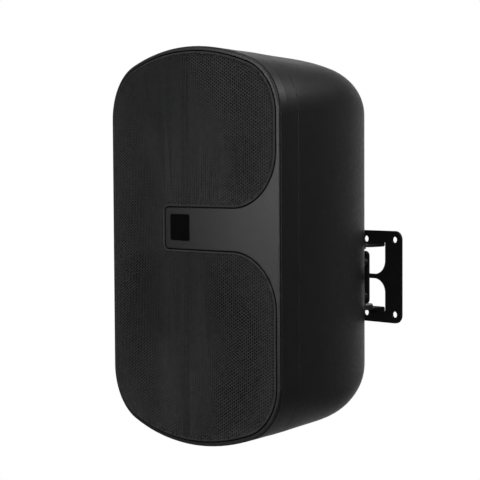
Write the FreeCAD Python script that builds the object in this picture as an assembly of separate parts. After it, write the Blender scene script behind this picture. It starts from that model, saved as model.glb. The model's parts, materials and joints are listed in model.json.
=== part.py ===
import FreeCAD, Part
import math
import os

# Wall loudspeaker with a two-way driver set, a C-shaped grille and a swivel wall bracket.
# Millimetres. The frame's origin is the centre of the wall plate's back face: +X is right as
# seen from the front, +Y points into the wall and +Z is up. The speaker itself is drawn in
# its own depth frame (y is the depth behind the front's centre, z from the cabinet's centre)
# and is moved to its place on the bracket when it is written.

# Front of the cabinet
face_w = 239.2
face_h = 381.0
crown_r = 249.0
corner_r = 54.7
bow = 6.0
rim_w = 3.0
rim_t = 2.2
rim_chamfer = 0.5
edge_out = 1.0
groove = 0.5

# Cabinet behind the front
cab_depth = 220.0
seam_depth = 35.5
seam_gap = 0.3
back_w = 60.0
back_h = 258.0
side_draft = 0.045
top_draft = 0.05
side_turn = 10.0
top_turn = 115.0
side_swell = 1.37
top_swell = 2.08
shell_wall = 3.5
ring_wall = 1.5
ring_flange_w = 17.0
ring_flange_t = 3.0
shell_steps = 8

# Baffle and grille
pocket_depth = 6.0
skin_t = 4.5
baffle_depth = 22.0
seat_depth = 17.0
fit_gap = 0.3
tab_left = -31.0
tab_h = 39.4
tab_margin = 9.5
tab_corner = 4.2
lobe_r = 53.4
tab_skin = 3.5
grille_t = 1.0
grille_lip = 5.9
grille_gap = 1.15
grille_proud = 1.0
badge_w = 27.0
badge_h = 25.0
badge_x = -9.4
badge_rise = 0.7
badge_t = 1.4
badge_proud = 0.5
badge_corner = 2.0

# Screws of the baffle
case_screw_r = 1.9
case_screw_head_r = 3.6
case_screw_head = 2.5
case_screw_len = 27.5
case_screw_depth = 12.5
case_screw_inset = 13.6
case_screw_drop = 85.0
crown_screw_x = 50.0
crown_screw_inset = 13.0
case_boss_r = 5.0
case_boss_len = 30.0
boss_rib_t = 4.0
boss_rib_reach = 15.0
head_skin = 4.0
hole_gap = 0.3
thread_gap = 0.05

# Woofer
woofer_low = 96.0
woofer_r = 83.0
woofer_flange = 4.0
woofer_gasket_t = 0.8
woofer_cut_r = 72.5
woofer_throw = 4.0
cone_r = 57.5
former_r = 13.05
former_wall = 0.45
coil_t = 0.65
coil_len = 10.0
motor_depth = 64.0
motor_plate = 6.0
motor_r = 44.0
woofer_magnet_t = 16.0
woofer_magnet_r = 46.0
woofer_screw_pcr = 78.5
driver_screw_r = 1.9
driver_screw_head_r = 3.2
driver_screw_head = 2.2
basket_t = 2.8
basket_shoulder = 3.0
basket_foot = 1.0
basket_land = 0.5
basket_window = 44.0
window_frame = 4.0
spider_rise = 4.0
spider_t = 0.6
spider_waves = 8
surround_t = 0.8
surround_steps = 6
cone_lip = 3.5
cone_neck = 40.0
cone_neck_t = 1.3
cone_t = 1.0
cone_offset = 0.6
cap_r = 23.5
cap_rise = 9.0
cap_t = 0.8
cap_inner = 0.94
cap_steps = 4
former_front = 3.0
motor_gap = 0.5
magnet_hole_r = 22.0
tag_w = 18.0
tag_len = 4.8

# Tweeter
tweeter_low = 3.5
tweeter_r = 52.0
tweeter_flange = 4.0
tweeter_cut_r = 38.0
tweeter_mouth_r = 42.0
throat_r = 14.6
tweeter_back = 9.0
throat_len = 1.4
dome_r = 12.55
dome_set = 0.3
dome_rise = 5.9
tweeter_coil_t = 0.55
tweeter_plate_r = 37.0
tweeter_plate_t = 4.2
tweeter_magnet_r = 36.0
tweeter_magnet_t = 10.0
tweeter_screw_pcr = 47.0
tweeter_screw_r = 1.6
tweeter_head_r = 2.8
tweeter_gap = 0.85
tweeter_step = 3.7
tweeter_ledge = 1.2
cuff_gap = 0.1
tweeter_coil_len = 5.7
dome_t = 0.6
flare_steps = 5
flare_power = 1.3

# Terminals and crossover
terminal_z = 55.0
terminal_w = 54.0
terminal_h = 44.0
terminal_t = 2.5
terminal_corner = 3.0
cup_w = 44.0
cup_h = 29.0
cup_deep = 20.0
cup_wall = 2.5
divider = 4.0
guide_h = 6.0
contact_w = 6.0
contact_t = 0.8
contact_len = 9.0
contact_rise = 8.0
lever_w = 16.0
lever_t = 3.0
lever_in = 6.0
lever_pin_r = 1.5
lever_pin_len = 1.2
finger_h = 4.5
lever_rise = 9.5
lever_drop = 13.0
pin_gap = 0.05
wire_hole_r = 1.7
terminal_screw_r = 1.5
terminal_head_r = 2.6
terminal_head = 1.8
board_w = 76.0
board_h = 56.0
board_t = 1.6
board_corner = 2.0
board_z = 112.0
board_post_len = 26.4
board_inset = 5.0
board_post_r = 4.0
board_screw_len = 9.6
pad_t = 20.0
inductor_r = 15.0
inductor_h = 14.0
capacitor_r = 5.5
capacitor_len = 22.0
capacitor_gap = 2.0
resistor_w = 6.0
resistor_len = 20.0

# Wall plate, swivel bracket and pivot
plate_size = 98.6
plate_t = 2.5
plate_corner = 9.0
plate_bend = 2.0
wall_hole_pitch = 80.0
wall_hole_r = 3.5
ear_w = 49.0
ear_len = 28.0
ear_in = 32.3
ear_corner = 15.0
strip_h = 4.8
relief_w = 2.5
relief_h = 4.0
pivot_out = 19.5
pivot_r = 3.0
pivot_gap = 0.08
thrust_r = 18.5
thrust_t = 2.5
slip_gap = 0.1
swivel_t = 2.5
swivel_w = 66.6
swivel_h = 56.0
swivel_ear_r = 11.0
swivel_out = 15.0
swivel_corner = 5.0
swivel_bend = 3.5
rib_h = 8.0
rib_out = 4.7
rib_pitch = 36.0
stud_pitch = 46.2
stud_r = 2.0
stud_head_r = 3.5
stud_head = 2.8
insert_r = 2.8
insert_boss_r = 5.6
insert_len = 10.0
bolt_flat = 10.0
bolt_head = 4.0
bolt_past = 1.0
nut_t = 5.0
washer_t = 1.2
washer_r = 6.0
bracket_drop = 41.9

wall_dist = pivot_out + swivel_out + swivel_t + rib_out + cab_depth
bow_r = ((face_w / 2) ** 2 + bow ** 2) / (2 * bow)
tall = face_h + 2 * edge_out
ring_middle = seam_depth / 2
woofer_z = woofer_low - face_h / 2
tab_low = woofer_z + woofer_r + tab_margin
tab_top = tab_low + tab_h
tweeter_z = (tab_top + face_h / 2) / 2 - tweeter_low
badge_z = (tab_top + tab_low) / 2 + badge_rise
board_depth = cab_depth - board_post_len - board_t
case_screw_x = face_w / 2 - case_screw_inset
case_screw_z = face_h / 2 - case_screw_drop
crown_fall = crown_r - math.sqrt(crown_r ** 2 - crown_screw_x ** 2)
crown_screw_z = face_h / 2 - crown_fall - crown_screw_inset
V = FreeCAD.Vector
BACK = V(0, 1, 0)
UP = V(0, 0, 1)


# Outlines in the front view

def line(a, b):
    return Part.LineSegment(V(*a), V(*b)).toShape()


def arc(centre, radius, start, end):
    """Arc in the front view, from one angle to another in degrees."""
    points = []
    for angle in (start, (start + end) / 2, end):
        turn = math.radians(angle)
        x = centre[0] + radius * math.cos(turn)
        z = centre[1] + radius * math.sin(turn)
        points.append(V(x, 0, z))
    return Part.Arc(*points).toShape()


def corner_form(half_w, half_h, crown, corner):
    """Height of the corner arc's centre, height of the crown's centre and their shared angle."""
    crown_z = half_h - crown
    rise = math.sqrt((crown - corner) ** 2 - (half_w - corner) ** 2)
    angle = math.degrees(math.atan2(rise, half_w - corner))
    return crown_z + rise, crown_z, angle


def upper_edges(half_w, half_h, crown, corner):
    """Right corner, crown and left corner of an outline's upper half."""
    corner_z, crown_z, angle = corner_form(half_w, half_h, crown, corner)
    side = half_w - corner
    return [
        arc((side, corner_z), corner, 0, angle),
        arc((0, crown_z), crown, angle, 180 - angle),
        arc((-side, corner_z), corner, 180 - angle, 180),
    ]


def lower_edges(half_w, half_h, crown, corner):
    corner_z, crown_z, angle = corner_form(half_w, half_h, crown, corner)
    side = half_w - corner
    return [
        arc((-side, -corner_z), corner, 180, 180 + angle),
        arc((0, -crown_z), crown, 180 + angle, 360 - angle),
        arc((side, -corner_z), corner, 360 - angle, 360),
    ]


def outline(half_w, half_h, crown, corner, depth=0.0):
    """Straight-sided outline with round corners and crowned top and bottom."""
    corner_z = corner_form(half_w, half_h, crown, corner)[0]
    edges = [line((half_w, 0, -corner_z), (half_w, 0, corner_z))]
    edges += upper_edges(half_w, half_h, crown, corner)
    edges += [line((-half_w, 0, corner_z), (-half_w, 0, -corner_z))]
    edges += lower_edges(half_w, half_h, crown, corner)
    wire = Part.Wire(edges)
    wire.translate(V(0, depth, 0))
    return wire


def face_outline(inset):
    return outline(face_w / 2 - inset, face_h / 2 - inset, crown_r - inset, corner_r - inset)


def grille_outline(inset):
    """The C-shaped outline: two lobes round a tab that enters from the right."""
    edge = rim_w + inset
    form = (face_w / 2 - edge, face_h / 2 - edge, crown_r - edge, corner_r - edge)
    half_w = form[0]
    corner_z = corner_form(*form)[0]
    top = tab_top + inset
    low = tab_low - inset
    left = tab_left - inset
    small = tab_corner + inset
    lobe = lobe_r - inset
    lobe_x = half_w - lobe
    edges = [line((half_w, 0, top + lobe), (half_w, 0, corner_z))]
    edges += upper_edges(*form)
    edges += [line((-half_w, 0, corner_z), (-half_w, 0, -corner_z))]
    edges += lower_edges(*form)
    edges += [
        line((half_w, 0, -corner_z), (half_w, 0, low - lobe)),
        arc((lobe_x, low - lobe), lobe, 0, 90),
        line((lobe_x, 0, low), (left + small, 0, low)),
        arc((left + small, low + small), small, 270, 180),
        line((left, 0, low + small), (left, 0, top - small)),
        arc((left + small, top - small), small, 180, 90),
        line((left + small, 0, top), (lobe_x, 0, top)),
        arc((lobe_x, top + lobe), lobe, 270, 360),
    ]
    return Part.Wire(edges)


# Solids; a cut reaches 1 mm past what it opens

def prism(wire, start, end):
    face = Part.Face(wire)
    face.translate(V(0, start, 0))
    return face.extrude(V(0, end - start, 0))


def behind_bow(offset):
    """Everything behind the bowed front, moved back by the offset."""
    return Part.makeCylinder(bow_r, 2 * tall, V(0, bow_r + offset, -tall), UP)


def bow_at(x):
    return bow_r - math.sqrt(bow_r ** 2 - x ** 2)


def turned(points, z):
    """Solid of revolution about a driver's axis, from (radius, depth) points."""
    corners = [V(radius, depth, z) for radius, depth in points]
    face = Part.Face(Part.makePolygon(corners + corners[:1]))
    return face.revolve(V(0, 0, z), BACK, 360)


def rod(radius, start, end, x, z):
    return Part.makeCylinder(radius, end - start, V(x, start, z), BACK)


def tube(outer, inner, start, end, x, z):
    return rod(outer, start, end, x, z).cut(rod(inner, start, end, x, z))


def block(x0, x1, y0, y1, z0, z1):
    return Part.makeBox(x1 - x0, y1 - y0, z1 - z0, V(x0, y0, z0))


def fused(shapes):
    return shapes[0].multiFuse(shapes[1:]).removeSplitter()


def group(shapes):
    return Part.makeCompound(shapes)


def around(z, radius, count, start=45.0):
    """Places on a circle about a driver's axis."""
    places = []
    for step in range(count):
        angle = math.radians(start + 360.0 * step / count)
        places.append((radius * math.cos(angle), z + radius * math.sin(angle)))
    return places


def screw(radius, head_r, head, seat, length, x, z):
    """Screw along the depth axis, with its head in front of the seat."""
    return rod(head_r, seat - head, seat, x, z).fuse(rod(radius, seat, seat + length, x, z))


def rounded_plate(width, height, corner, start, end, x=0.0, z=0.0):
    half_w = width / 2
    half_h = height / 2
    plate = block(x - half_w, x + half_w, start, end, z - half_h, z + half_h)
    upright = [edge for edge in plate.Edges if abs(edge.tangentAt(edge.FirstParameter).y) > 0.9]
    return plate.makeFillet(corner, upright)


# Cabinet form

def swell(depth, start, power):
    """Share of the inward curve that is used up at a depth."""
    share = min(max((depth - start) / (cab_depth - start), 0.0), 1.0)
    return 1.0 - (1.0 - share ** power) ** (1.0 / power)


def half_width(depth):
    straight = face_w / 2 + edge_out
    turn_in = straight - side_draft * cab_depth - back_w / 2
    return straight - side_draft * depth - turn_in * swell(depth, side_turn, side_swell)


def half_height(depth):
    straight = face_h / 2 + edge_out
    turn_in = straight - top_draft * cab_depth - back_h / 2
    return straight - top_draft * depth - turn_in * swell(depth, top_turn, top_swell)


def section(depth, inset=0.0, place=None):
    """Cabinet outline at a depth, drawn at that depth or at another place."""
    half_w = half_width(depth)
    share = half_w / (face_w / 2 + edge_out)
    crown = crown_r * share - inset
    corner = corner_r * share - inset
    at = depth if place is None else place
    return outline(half_w - inset, half_height(depth) - inset, crown, corner, at)


def shell_form(start, inset, end):
    """Loft from the seam to the back; the end says how deep the last section lies."""
    wires = []
    for step in range(shell_steps + 1):
        share = math.sin(math.pi / 2 * step / shell_steps)
        depth = start + (cab_depth - start) * share
        wires.append(section(depth, inset, start + (end - start) * share))
    return Part.makeLoft(wires, True, False)


case_screw_places = []
for side in (-1, 1):
    for end in (-1, 1):
        case_screw_places.append((side * case_screw_x, end * case_screw_z))
        case_screw_places.append((side * crown_screw_x, end * crown_screw_z))

stud_places = []
for side in (-1, 1):
    for end in (-1, 1):
        stud_places.append((side * stud_pitch / 2, end * rib_pitch / 2 - bracket_drop))

board_posts = []
for side in (-1, 1):
    for end in (-1, 1):
        post_x = side * (board_w / 2 - board_inset)
        board_posts.append((post_x, board_z + end * (board_h / 2 - board_inset)))

woofer_places = around(woofer_z, woofer_screw_pcr, 4)
tweeter_places = around(tweeter_z, tweeter_screw_pcr, 4)
terminal_places = []
for side in (-1, 1):
    for end in (-1, 1):
        terminal_x = side * (terminal_w + cup_w) / 4
        terminal_places.append((terminal_x, terminal_z + end * (terminal_h + cup_h) / 4))


def make_rear_shell():
    start = seam_depth + seam_gap / 2
    outer = shell_form(start, 0.0, cab_depth)
    shell = outer.cut(shell_form(start, shell_wall, cab_depth - shell_wall))
    boss_start = baffle_depth + 2 * fit_gap + ring_flange_t
    added = []
    for x, z in case_screw_places:
        added.append(rod(case_boss_r, boss_start, boss_start + case_boss_len, x, z))
        rib_end = start + case_boss_len
        if abs(x) > crown_screw_x:
            reach = math.copysign(boss_rib_reach, x)
            low, high = sorted((x, x + reach))
            added.append(block(low, high, start, rib_end, z - boss_rib_t / 2, z + boss_rib_t / 2))
        else:
            reach = math.copysign(boss_rib_reach, z)
            low, high = sorted((z, z + reach))
            added.append(block(x - boss_rib_t / 2, x + boss_rib_t / 2, start, rib_end, low, high))
    for x, z in stud_places:
        added.append(rod(insert_boss_r, cab_depth - insert_len - shell_wall, cab_depth, x, z))
    for x, z in board_posts:
        added.append(rod(board_post_r, board_depth + board_t, cab_depth, x, z))
    front_part = block(-face_w, face_w, 0, start, -face_h, face_h)
    kept = []
    for piece in added:
        kept.append(piece.common(fused([outer, front_part])))
    ribs = []
    for end in (-1, 1):
        rib_z = end * rib_pitch / 2 - bracket_drop
        ribs.append(rounded_plate(swivel_w, rib_h, rib_h / 2 - 0.01, cab_depth - rib_out,
                                  cab_depth + rib_out, 0.0, rib_z))
    shell = fused([shell] + kept + ribs)
    cuts = [block(-cup_w / 2 - fit_gap, cup_w / 2 + fit_gap, board_depth, cab_depth + 1,
                  terminal_z - cup_h / 2 - fit_gap, terminal_z + cup_h / 2 + fit_gap)]
    screw_end = case_screw_depth + case_screw_len + 1
    for x, z in case_screw_places:
        cuts.append(rod(case_screw_r, boss_start - 1, screw_end, x, z))
    for x, z in stud_places:
        cuts.append(rod(insert_r, cab_depth + rib_out - insert_len - 1, cab_depth + rib_out + 1, x, z))
    for x, z in board_posts:
        cuts.append(rod(driver_screw_r, board_depth, board_depth + board_screw_len + 1, x, z))
    for x, z in terminal_places:
        cuts.append(rod(terminal_screw_r, cab_depth - shell_wall - 1, cab_depth + 1, x, z))
    return shell.cut(group(cuts)).removeSplitter()


def front_form(inset, end):
    """Tapered body behind the front, inset from the cabinet's outside."""
    return Part.makeLoft([section(depth, inset) for depth in (-1.0, ring_middle, end)], True, True)


def make_front_ring():
    end = seam_depth - seam_gap / 2
    outer = front_form(0.0, end)
    inner = front_form(ring_wall, end)
    flange_start = baffle_depth + fit_gap
    flange = outer.common(block(-face_w, face_w, flange_start, flange_start + ring_flange_t,
                                -face_h, face_h))
    flange = flange.cut(prism(face_outline(ring_flange_w), 0, cab_depth))
    ring = fused([outer.cut(inner), flange]).common(behind_bow(rim_t + groove))
    holes = []
    for x, z in case_screw_places:
        holes.append(rod(case_screw_r + hole_gap, flange_start - 1, end, x, z))
    return ring.cut(group(holes))


def make_cabinet_gasket():
    start = seam_depth - seam_gap / 2
    outer = prism(section(seam_depth, ring_wall / 2, 0.0), start, start + seam_gap)
    return outer.cut(prism(section(seam_depth, ring_wall, 0.0), 0, cab_depth))


def make_baffle():
    hold = ring_wall + fit_gap
    plate = front_form(hold, baffle_depth)
    rim = prism(face_outline(0.0), -1, bow + rim_t).cut(behind_bow(rim_t))
    body = fused([plate, rim]).common(behind_bow(0.0))
    front_edges = []
    for edge in body.Edges:
        middle = edge.valueAt((edge.FirstParameter + edge.LastParameter) / 2)
        if abs(middle.y - bow_at(middle.x)) < 0.01:
            front_edges.append(edge)
    body = body.makeChamfer(rim_chamfer, front_edges)
    pocket = prism(grille_outline(0.0), -1, baffle_depth).cut(behind_bow(pocket_depth))
    body = body.cut(pocket)
    hollow = prism(section(baffle_depth, hold + skin_t, 0.0), 0, baffle_depth + 1)
    hollow = hollow.common(behind_bow(pocket_depth + skin_t))
    kept = [
        rod(woofer_r + skin_t, 0, baffle_depth + 1, 0, woofer_z),
        rod(tweeter_r + skin_t, 0, baffle_depth + 1, 0, tweeter_z),
    ]
    for x, z in case_screw_places:
        kept.append(rod(case_screw_head_r + head_skin, 0, baffle_depth + 1, x, z))
    tab_end = face_w / 2 - rim_w - lobe_r
    tab_room = block(tab_left + tab_skin, tab_end, 0, baffle_depth + 1,
                     tab_low + tab_skin, tab_top - tab_skin)
    tab_room = tab_room.common(behind_bow(tab_skin))
    cuts = [hollow.cut(group(kept)), tab_room.cut(group(kept))]
    cuts.append(rod(woofer_r + fit_gap, -1, seat_depth, 0, woofer_z))
    cuts.append(rod(woofer_cut_r, 0, baffle_depth + 1, 0, woofer_z))
    cuts.append(rod(tweeter_r + fit_gap, -1, seat_depth, 0, tweeter_z))
    cuts.append(rod(tweeter_cut_r, 0, baffle_depth + 1, 0, tweeter_z))
    for x, z in case_screw_places:
        cuts.append(rod(case_screw_head_r + hole_gap, 0, case_screw_depth, x, z))
        cuts.append(rod(case_screw_r + hole_gap, 0, baffle_depth + 1, x, z))
    for x, z in woofer_places:
        cuts.append(rod(driver_screw_r, seat_depth - 1, baffle_depth + 1, x, z))
    for x, z in tweeter_places:
        cuts.append(rod(tweeter_screw_r, seat_depth - 1, baffle_depth + 1, x, z))
    cuts.append(rounded_plate(badge_w + 2 * fit_gap, badge_h + 2 * fit_gap, badge_corner,
                              -1, badge_t - badge_proud, badge_x, badge_z))
    for cut in cuts:
        body = body.cut(cut)
    return body.removeSplitter()


def make_grille():
    pan = prism(grille_outline(grille_gap), -grille_proud - 1, bow + grille_lip + 1)
    pan = pan.common(behind_bow(-grille_proud)).cut(behind_bow(grille_lip))
    room = prism(grille_outline(grille_gap + grille_t), -grille_proud - 1, baffle_depth)
    return pan.cut(room.common(behind_bow(grille_t - grille_proud)))


def make_badge():
    return rounded_plate(badge_w, badge_h, badge_corner, -badge_proud, badge_t - badge_proud,
                         badge_x, badge_z)


def make_case_screws():
    screws = []
    for x, z in case_screw_places:
        screws.append(screw(case_screw_r, case_screw_head_r, case_screw_head,
                            case_screw_depth, case_screw_len, x, z))
    return group(screws)


def make_damping_pad():
    pad_w = back_w - 3 * shell_wall
    top = -bracket_drop - rib_pitch / 2 - 4 * insert_r
    deep = cab_depth - shell_wall
    return block(-pad_w / 2, pad_w / 2, deep - pad_t, deep, 4 * shell_wall - back_h / 2, top)


# Woofer

woofer_front = seat_depth - woofer_gasket_t - woofer_flange
basket_r = woofer_cut_r - 2 * fit_gap
basket_in = basket_r - basket_t
spider_depth = motor_depth - basket_t - spider_rise
plate_bore = former_r + coil_t + motor_gap


def cone_front(radius):
    """Depth of the cone's front face at a radius."""
    lip_in = cone_r - cone_lip
    slope = (cone_neck - woofer_front) / (lip_in - former_r)
    return woofer_front + (lip_in - radius) * slope


def make_woofer_basket():
    seat = woofer_front + woofer_flange
    foot = motor_r + basket_t + basket_foot
    wide = baffle_depth + basket_shoulder
    basket = turned([
        (woofer_r, woofer_front),
        (woofer_r, seat),
        (basket_r, seat),
        (basket_r, wide),
        (foot, spider_depth + basket_foot),
        (foot, motor_depth),
        (magnet_hole_r, motor_depth),
        (magnet_hole_r, motor_depth - basket_t),
        (motor_r - spider_rise, motor_depth - basket_t),
        (motor_r - spider_rise, spider_depth),
        (foot - basket_t + basket_land, spider_depth),
        (basket_in, wide - basket_foot),
        (basket_in, woofer_front),
    ], woofer_z)
    for step in range(4):
        window = block(-basket_window / 2, basket_window / 2, wide + window_frame,
                       spider_depth - window_frame, woofer_z + motor_r - window_frame,
                       woofer_z + woofer_r)
        window.rotate(V(0, 0, woofer_z), BACK, 90 * step)
        basket = basket.cut(window)
    for x, z in woofer_places:
        basket = basket.cut(rod(driver_screw_r + hole_gap, 0, baffle_depth, x, z))
    return basket


def make_woofer_gasket():
    gasket = tube(woofer_r, woofer_cut_r, seat_depth - woofer_gasket_t, seat_depth, 0, woofer_z)
    for x, z in woofer_places:
        gasket = gasket.cut(rod(driver_screw_r + hole_gap, 0, baffle_depth, x, z))
    return gasket


def make_woofer_surround():
    middle = (basket_in + cone_r) / 2
    roll = (basket_in - cone_r) / 2
    cuff_out = woofer_screw_pcr - driver_screw_head_r - surround_t
    cuff_front = woofer_front - surround_t
    points = [(cuff_out, woofer_front), (cuff_out, cuff_front)]
    outer = roll + surround_t / 2
    inner = roll - surround_t / 2
    first = math.degrees(math.asin(surround_t / outer))
    for step in range(surround_steps + 1):
        angle = math.radians(first + (180 - 2 * first) * step / surround_steps)
        points.append((middle + outer * math.cos(angle), woofer_front - outer * math.sin(angle)))
    points += [(cone_r - cone_lip, cuff_front), (cone_r - cone_lip, woofer_front)]
    for step in range(surround_steps + 1):
        angle = math.pi * (1 - step / surround_steps)
        points.append((middle + inner * math.cos(angle), woofer_front - inner * math.sin(angle)))
    return turned(points, woofer_z)


def make_woofer_cone():
    lip_in = cone_r - cone_lip
    return turned([
        (cone_r, woofer_front),
        (lip_in, woofer_front),
        (former_r, cone_neck),
        (former_r, cone_neck + cone_neck_t),
        (lip_in + cone_offset, woofer_front + cone_t),
        (cone_r, woofer_front + cone_t),
    ], woofer_z)


def make_dust_cap():
    edge = cone_front(cap_r)
    front = []
    back = []
    for step in range(cap_steps + 1):
        share = step / cap_steps
        depth = edge - cap_rise * (1 - share ** 2)
        front.append((cap_r * share, depth))
        back.append((cap_r * share * cap_inner, depth + cap_t))
    return turned(front + back[::-1], woofer_z)


def make_former():
    end = motor_depth + motor_plate + woofer_throw
    return tube(former_r, former_r - former_wall, cone_neck - former_front, end, 0, woofer_z)


def make_coil():
    middle = motor_depth + motor_plate / 2
    return tube(former_r + coil_t, former_r, middle - coil_len / 2, middle + coil_len / 2, 0, woofer_z)


def make_spider():
    outer = motor_r + basket_land
    inner = motor_r - spider_rise
    seat = spider_depth - spider_t
    front = [(outer, seat)]
    for step in range(spider_waves + 1):
        radius = inner + (former_r - inner) * step / spider_waves
        wave = 0.0 if step in (0, spider_waves) else spider_t * (-1) ** step
        front.append((radius, seat + wave))
    back = [(radius, depth + spider_t) for radius, depth in reversed(front)]
    return turned(front + back, woofer_z)


def make_top_plate():
    return tube(motor_r, plate_bore, motor_depth, motor_depth + motor_plate, 0, woofer_z)


def make_magnet():
    start = motor_depth + motor_plate
    return tube(woofer_magnet_r, magnet_hole_r, start, start + woofer_magnet_t, 0, woofer_z)


def make_back_plate():
    start = motor_depth + motor_plate + woofer_magnet_t
    pole = rod(former_r - former_wall - motor_gap, motor_depth, start, 0, woofer_z)
    return rod(motor_r, start, start + motor_plate, 0, woofer_z).fuse(pole)


def make_woofer_tags():
    foot = woofer_z + motor_r + basket_t + basket_foot
    return block(-tag_w / 2, tag_w / 2, motor_depth - tag_len, motor_depth, foot, foot + basket_t)


def make_woofer_screws():
    reach = baffle_depth - woofer_front
    screws = []
    for x, z in woofer_places:
        screws.append(screw(driver_screw_r - thread_gap, driver_screw_head_r, driver_screw_head,
                            woofer_front, reach, x, z))
    return group(screws)


# Tweeter

tweeter_front = seat_depth - tweeter_flange
tweeter_rear = seat_depth + tweeter_back
dome_base = tweeter_rear + dome_set
tweeter_bore = dome_r + tweeter_gap


def make_tweeter_plate():
    points = [
        (tweeter_r, tweeter_front),
        (tweeter_r, seat_depth),
        (tweeter_cut_r - fit_gap, seat_depth),
        (tweeter_cut_r - fit_gap, tweeter_rear),
        (throat_r, tweeter_rear),
    ]
    throat = tweeter_rear - throat_len
    for step in range(flare_steps + 1):
        share = step / flare_steps
        drop = 1 - (1 - share) ** flare_power
        radius = throat_r + (tweeter_mouth_r - throat_r) * share
        points.append((radius, throat - (throat - tweeter_front) * drop))
    plate = turned(points, tweeter_z)
    for x, z in tweeter_places:
        plate = plate.cut(rod(tweeter_screw_r + hole_gap, 0, baffle_depth, x, z))
    return plate


def make_dome():
    front = []
    back = []
    for step in range(cap_steps + 1):
        share = step / cap_steps
        depth = dome_base - dome_rise * (1 - share ** 2)
        front.append((dome_r * share, depth))
        back.append(((dome_r - dome_t) * share, depth + dome_t * (1 - share)))
    return turned(front + back[::-1], tweeter_z)


def make_tweeter_surround():
    inner = dome_r + thread_gap
    cuff = tweeter_bore + tweeter_step
    return turned([
        (inner, dome_base - dome_t),
        (tweeter_bore, tweeter_rear - dome_t),
        (throat_r - cuff_gap, tweeter_rear),
        (cuff, tweeter_rear),
        (cuff, tweeter_rear + dome_t),
        (throat_r - 3 * cuff_gap, tweeter_rear + dome_t),
        (inner, dome_base),
    ], tweeter_z)


def make_tweeter_coil():
    return tube(dome_r, dome_r - tweeter_coil_t, dome_base, dome_base + tweeter_coil_len, 0, tweeter_z)


def make_tweeter_top_plate():
    ledge = tweeter_rear + tweeter_ledge
    step_r = tweeter_bore + tweeter_step + cuff_gap
    back = tweeter_rear + tweeter_plate_t
    return turned([
        (tweeter_plate_r, tweeter_rear),
        (tweeter_plate_r, back),
        (tweeter_bore, back),
        (tweeter_bore, ledge),
        (step_r, ledge),
        (step_r, tweeter_rear),
    ], tweeter_z)


def make_tweeter_magnet():
    start = tweeter_rear + tweeter_plate_t
    hole = tweeter_bore + tweeter_step
    return tube(tweeter_magnet_r, hole, start, start + tweeter_magnet_t, 0, tweeter_z)


def make_tweeter_back_plate():
    start = tweeter_rear + tweeter_plate_t + tweeter_magnet_t
    pole_r = dome_r - tweeter_coil_t - motor_gap
    pole = rod(pole_r, dome_base + tweeter_ledge, start, 0, tweeter_z)
    return rod(tweeter_magnet_r, start, start + tweeter_plate_t, 0, tweeter_z).fuse(pole)


def make_tweeter_screws():
    reach = baffle_depth - tweeter_front
    screws = []
    for x, z in tweeter_places:
        screws.append(screw(tweeter_screw_r - thread_gap, tweeter_head_r, driver_screw_head,
                            tweeter_front, reach, x, z))
    return group(screws)


# Crossover

def make_board():
    back = board_depth + board_t
    board = rounded_plate(board_w, board_h, board_corner, board_depth, back, 0, board_z)
    for x, z in board_posts:
        board = board.cut(rod(driver_screw_r + hole_gap, 0, cab_depth, x, z))
    return board


def make_inductors():
    large = tube(inductor_r, inductor_r / 2, board_depth - inductor_h, board_depth,
                 -board_w / 4, board_z + board_h / 6)
    small_r = 0.8 * inductor_r
    small = tube(small_r, inductor_r / 2, board_depth - inductor_h, board_depth,
                 board_w / 5, board_z + board_h / 6)
    return group([large, small])


def make_capacitors():
    caps = []
    left = board_post_r - board_w / 2 + board_inset
    for x in (left, left + capacitor_len + capacitor_gap):
        start = V(x, board_depth - capacitor_r, board_z - board_h / 3)
        caps.append(Part.makeCylinder(capacitor_r, capacitor_len, start, V(1, 0, 0)))
    return group(caps)


def make_resistor():
    right = board_w / 2 - board_inset / 2
    low = board_z - board_h / 4
    return block(right - resistor_w, right, board_depth - resistor_w, board_depth,
                 low, low + resistor_len)


def make_board_screws():
    screws = []
    for x, z in board_posts:
        screws.append(screw(driver_screw_r - thread_gap, driver_screw_head_r, driver_screw_head,
                            board_depth, board_screw_len, x, z))
    return group(screws)


# Terminals

cup_floor = cab_depth - cup_deep + cup_wall
bay_w = (cup_w - 2 * cup_wall - divider) / 2
bay_x = (bay_w + divider) / 2
lever_depth = cab_depth - lever_in
lever_z = terminal_z + lever_rise


def make_terminal_cup():
    out = cab_depth + terminal_t
    low = terminal_z - cup_h / 2 + cup_wall
    high = terminal_z + cup_h / 2 - cup_wall
    cup = rounded_plate(terminal_w, terminal_h, terminal_corner, cab_depth, out, 0, terminal_z)
    body = block(-cup_w / 2, cup_w / 2, cab_depth - cup_deep, out,
                 terminal_z - cup_h / 2, terminal_z + cup_h / 2)
    cup = fused([cup, body])
    for side in (-1, 1):
        x = side * bay_x
        cup = cup.cut(block(x - bay_w / 2, x + bay_w / 2, cup_floor, out + 1, low, high))
    guides = []
    for side in (-1, 1):
        x = side * bay_x
        guide = block(x - bay_w / 2, x + bay_w / 2, cup_floor, cab_depth, low, low + guide_h)
        guides.append(guide)
    cup = fused([cup] + guides)
    for side in (-1, 1):
        x = side * bay_x
        cup = cup.cut(rod(wire_hole_r, cup_floor, out, x, low + guide_h / 2))
        bore_half = bay_w / 2 + lever_pin_len + pin_gap
        bore = Part.makeCylinder(lever_pin_r + pin_gap, 2 * bore_half,
                                 V(x - bore_half, lever_depth, lever_z), V(1, 0, 0))
        cup = cup.cut(bore)
        slot_half = contact_w / 2 + pin_gap
        cup = cup.cut(block(x - slot_half, x + slot_half, 0, cup_floor + 1,
                            terminal_z - pin_gap, terminal_z + contact_t + pin_gap))
    for x, z in terminal_places:
        cup = cup.cut(rod(terminal_screw_r + hole_gap, cab_depth - 1, out + 1, x, z))
    return cup


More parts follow.
